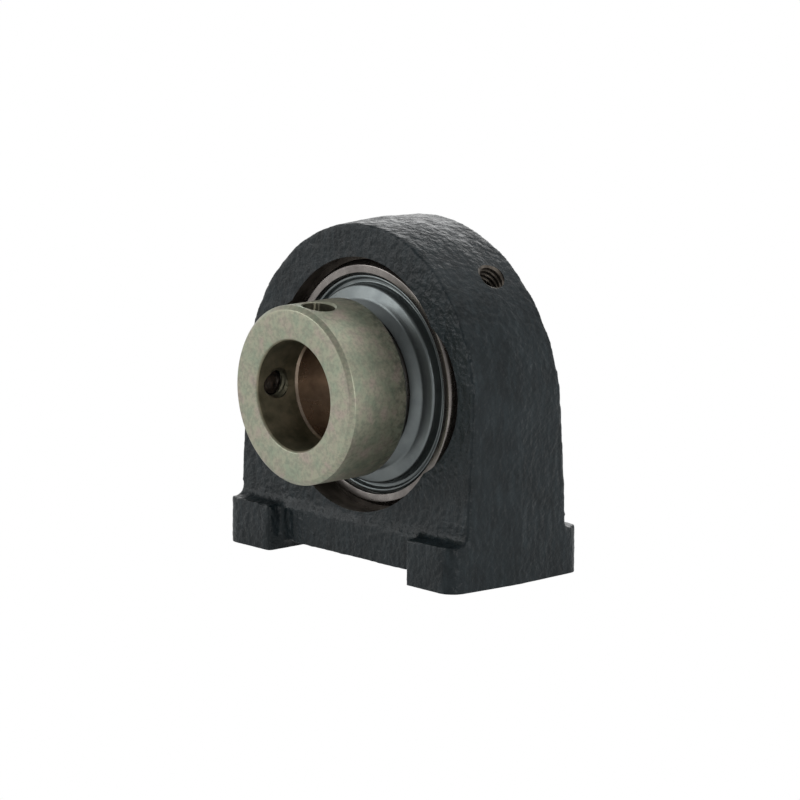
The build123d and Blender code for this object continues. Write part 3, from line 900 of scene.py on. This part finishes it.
# Painted shade: inside the bore the plating gives way to a darker olive, in random patches, that stands for
# the shade in there.
in_bore = range_node(tree, surface["Radius"], collar_bore + 0.1 * MM, collar_bore + 0.3 * MM, 1.0, 0.0)
painted_bore_shade = ramp_node(tree, tint, (0.35, plate_bore_shade), (0.65, plate_bore_shade_light))
tree.links.new(blend_node(tree, in_bore, painted_rear_reflection, painted_bore_shade), shader.inputs["Base Color"])
tree.links.new(range_node(tree, tint, 0.3, 0.7, 0.33, 0.48), shader.inputs["Roughness"])
fine = noise_node(tree, place, 0.22 * MM, detail=2.0)
blasted = bump_node(tree, fine, 0.006 * MM)
tree.links.new(bump_node(tree, surface["Rings"], 0.006 * MM, blasted), shader.inputs["Normal"])

hole_steel, tree, shader, place = material("hole_steel", 0.85, 0.4)
oil = noise_node(tree, place, 1.4 * MM, detail=4.0)
shade = ramp_node(tree, oil, (0.3, (0.075, 0.068, 0.045)), (0.7, (0.17, 0.165, 0.12)))
tree.links.new(shade, shader.inputs["Base Color"])
tree.links.new(range_node(tree, oil, 0.3, 0.7, 0.3, 0.46), shader.inputs["Roughness"])

front_outside = (collar_radius - collar_chamfer, collar_front)
chamfer_end = (collar_radius, collar_front + collar_chamfer)
rear_outside = (collar_radius, collar_rear)
bore_front = (collar_bore, collar_front + collar_bore_chamfer)
bore_edge = (collar_bore + collar_bore_chamfer, collar_front)
collar = turned(
    "collar_turned",
    [bore_edge, front_outside, chamfer_end, rear_outside, (collar_bore, collar_rear), bore_front],
    rounds=(
        (front_outside, collar_edge), (chamfer_end, collar_edge),
        (rear_outside, collar_rear_round), (bore_edge, 0.1 * MM),
    ),
)
collar.data.materials.append(collar_plating)
recess = rod("recess", recess_radius, collar_rear - recess_y + PAST, sides=ROUND_SIDES)
aim(recess, (0, collar_rear + PAST, eccentricity), (0, -1, 0))
combine(collar, recess, "DIFFERENCE", collar_plating)

hole_line = Vector((0, hole_y, 0))
drift_out = Vector((math.cos(drift_angle), 0, math.sin(drift_angle)))
drift_hole = rod("drift_hole", hole_radius, 6 * MM)
aim(drift_hole, drift_out * (collar_radius - drift_depth) + hole_line, drift_out)
combine(collar, drift_hole, "DIFFERENCE", hole_steel)

# The screw's thread: a wide groove. The screw's ridges clear it at rest and at both ends of the travel.
screw_out = Vector((math.cos(screw_angle), 0, math.sin(screw_angle)))
screw_tip = 11.35 * MM
screw_thread = thread_tool("screw_thread", hole_radius, m6_pitch, m6_depth, 0.36 * MM, 9 * MM)
aim(screw_thread, screw_out * (screw_tip - 3 * m6_pitch) + hole_line, screw_out)
combine(collar, screw_thread, "DIFFERENCE", hole_steel)
rim_outer = hole_radius + 2 * hole_countersink
rim_inner = hole_radius - 0.2 * hole_countersink
for outwards in (drift_out, screw_out):
    rim = point("rim", rim_outer, rim_inner, 2.2 * hole_countersink)
    aim(rim, outwards * (collar_radius + hole_countersink) + hole_line, -outwards)
    combine(collar, rim, "DIFFERENCE", collar_plating)
finish_edges(collar)
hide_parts("locking_collar")
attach(collar, "locking_collar")


# ---------------------------------------------------------------------------
# Grub screw: M6, blackened steel, with a hexagon socket outside and a cup point
# towards the shaft.
# ---------------------------------------------------------------------------
screw_length = 5.0 * MM
screw_radius = 2.95 * MM
screw_nose = 0.9 * MM
screw_depth = 0.53 * MM
screw_crest = 0.03 * MM
cup_radius = 1.3 * MM
cup_depth = 0.7 * MM
socket_flats = 3.0 * MM
socket_depth = 2.4 * MM

black_oxide, tree, shader, place = material("black_oxide", 0.85, 0.38)
wear = noise_node(tree, place, 0.9 * MM, detail=4.0, roughness=0.6)
shade = ramp_node(tree, wear, (0.35, (0.028, 0.026, 0.024)), (0.7, (0.085, 0.068, 0.055)))
tree.links.new(shade, shader.inputs["Base Color"])
tree.links.new(range_node(tree, wear, 0.3, 0.7, 0.3, 0.46), shader.inputs["Roughness"])
cup_steel, tree, shader, place = material("cup_steel", 0.85, 0.4)
worn = noise_node(tree, place, 0.8 * MM, detail=3.0)
shade = ramp_node(tree, worn, (0.3, (0.16, 0.105, 0.075)), (0.7, (0.30, 0.22, 0.17)))
tree.links.new(shade, shader.inputs["Base Color"])
tree.links.new(range_node(tree, worn, 0.3, 0.7, 0.32, 0.45), shader.inputs["Roughness"])



def at_height(piece, edge, height):
    """Whether both ends of an edge lie at a height."""
    return all(abs(piece.data.vertices[index].co.z - height) < 0.01 * MM for index in edge.vertices)


# A thread on a blank with a plain nose and both ends chamfered.
screw = thread_tool("screw_blank", screw_radius, m6_pitch, screw_depth, screw_crest, screw_length)
screw.data.materials.append(black_oxide)
shank = rod("shank", screw_radius, screw_length - screw_nose)
aim(shank, (0, 0, screw_nose), (0, 0, 1))
nose = rod("nose", screw_radius - screw_depth, screw_nose + 0.1 * MM)
combine(shank, nose, "UNION", black_oxide)
for height, chamfer in ((0.0, 0.37 * MM), (screw_length, 0.35 * MM)):
    edit_some(shank, "EDGE", lambda edge: at_height(shank, edge, height))
    bpy.ops.mesh.bevel(offset=chamfer, segments=1, affect="EDGES")
    leave_edit()
combine(screw, shank, "INTERSECT", black_oxide)
cup = point("cup", cup_radius, 0.2 * MM, cup_depth)
combine(screw, cup, "DIFFERENCE", cup_steel)
socket = rod("socket", socket_flats / math.sqrt(3), socket_depth + PAST, sides=6)
aim(socket, (0, 0, screw_length - socket_depth), (0, 0, 1))
combine(screw, socket, "DIFFERENCE", black_oxide)
aim(screw, screw_out * screw_tip + hole_line, screw_out)
finish_edges(screw)
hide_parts("grub_screw")
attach(screw, "grub_screw")


# ---------------------------------------------------------------------------
# Floor and light: a plain white floor under four large soft lamps, in an evenly
# white room. Where the room itself is seen or mirrored, it is dimmer overhead and
# in front.
# ---------------------------------------------------------------------------
room_light = 0.62
floor_size = 8.0


def seen_directly(tree):
    """1 for camera, glossy and transmission rays, and 0 for the light that falls on things."""
    path = tree.nodes.new("ShaderNodeLightPath").outputs
    shown = maths_node(tree, "MAXIMUM", path["Is Camera Ray"], path["Is Glossy Ray"])
    return maths_node(tree, "MAXIMUM", shown, path["Is Transmission Ray"])


bpy.ops.object.select_all(action="DESELECT")
bpy.ops.mesh.primitive_plane_add(size=floor_size, location=(0, 0, sole_z - 0.02 * MM))
floor = bpy.context.object
floor.name = "floor"
place_in_mesh(floor)
floor_white, tree, shader, place = material("floor_white", 0.0, 0.9)
shader.inputs["Base Color"].default_value = (0.85, 0.85, 0.85, 1)
glow = tree.nodes.new("ShaderNodeEmission")
mix = tree.nodes.new("ShaderNodeMixShader")
split = tree.nodes.new("ShaderNodeSeparateXYZ")
tree.links.new(place, split.inputs["Vector"])
behind = range_node(tree, split.outputs["Y"], -0.15, 0.1, 0.0, 1.0)
path = tree.nodes.new("ShaderNodeLightPath").outputs
shown = maths_node(tree, "MAXIMUM", path["Is Camera Ray"], behind)
tree.links.new(maths_node(tree, "MULTIPLY", seen_directly(tree), shown), mix.inputs["Fac"])
tree.links.new(shader.outputs["BSDF"], mix.inputs[1])
tree.links.new(glow.outputs["Emission"], mix.inputs[2])
tree.links.new(mix.outputs["Shader"], tree.nodes["Material Output"].inputs["Surface"])
floor.data.materials.append(floor_white)
floor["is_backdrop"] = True

world = bpy.data.worlds.new("white_room")
world.use_nodes = True
bpy.context.scene.world = world
tree = world.node_tree
room = tree.nodes["Background"]
room.inputs["Color"].default_value = (1, 1, 1, 1)
room.inputs["Strength"].default_value = room_light
backdrop = tree.nodes.new("ShaderNodeBackground")
sky = tree.nodes.new("ShaderNodeTexCoord").outputs["Generated"]
height = tree.nodes.new("ShaderNodeSeparateXYZ")
tree.links.new(sky, height.inputs["Vector"])
ceiling = range_node(tree, height.outputs["Z"], 0.25, 0.8, 1.0, 0.4)
to_right = maths_node(tree, "MULTIPLY", height.outputs["X"], 0.35)
toward_front = maths_node(tree, "SUBTRACT", to_right, height.outputs["Y"])
front = range_node(tree, toward_front, 0.0, 0.7, 1.0, 0.42)
tree.links.new(maths_node(tree, "MULTIPLY", ceiling, front), backdrop.inputs["Strength"])
backdrop.inputs["Color"].default_value = (1, 1, 1, 1)
mix = tree.nodes.new("ShaderNodeMixShader")
tree.links.new(seen_directly(tree), mix.inputs["Fac"])
tree.links.new(room.outputs["Background"], mix.inputs[1])
tree.links.new(backdrop.outputs["Background"], mix.inputs[2])
tree.links.new(mix.outputs["Shader"], tree.nodes["World Output"].inputs["Surface"])


def soft_lamp(name, place, size, power):
    """Square area lamp that faces the bearing."""
    data = bpy.data.lights.new(name, "AREA")
    data.size = size
    data.energy = power
    lamp = bpy.data.objects.new(name, data)
    bpy.context.collection.objects.link(lamp)
    lamp.location = place
    lamp.rotation_mode = "QUATERNION"
    lamp.rotation_quaternion = Vector(place).to_track_quat("Z", "Y")


soft_lamp("overhead", (0.2, 0.5, 1.5), 1.5, 7.0)
soft_lamp("front_left", (-0.9, -1.1, 0.5), 0.8, 6.0)
soft_lamp("right", (1.4, -0.3, 0.3), 0.8, 6.0)
soft_lamp("behind", (-0.9, 1.2, 0.55), 0.8, 4.0)

bpy.context.scene.view_settings.view_transform = "Standard"

low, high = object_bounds()
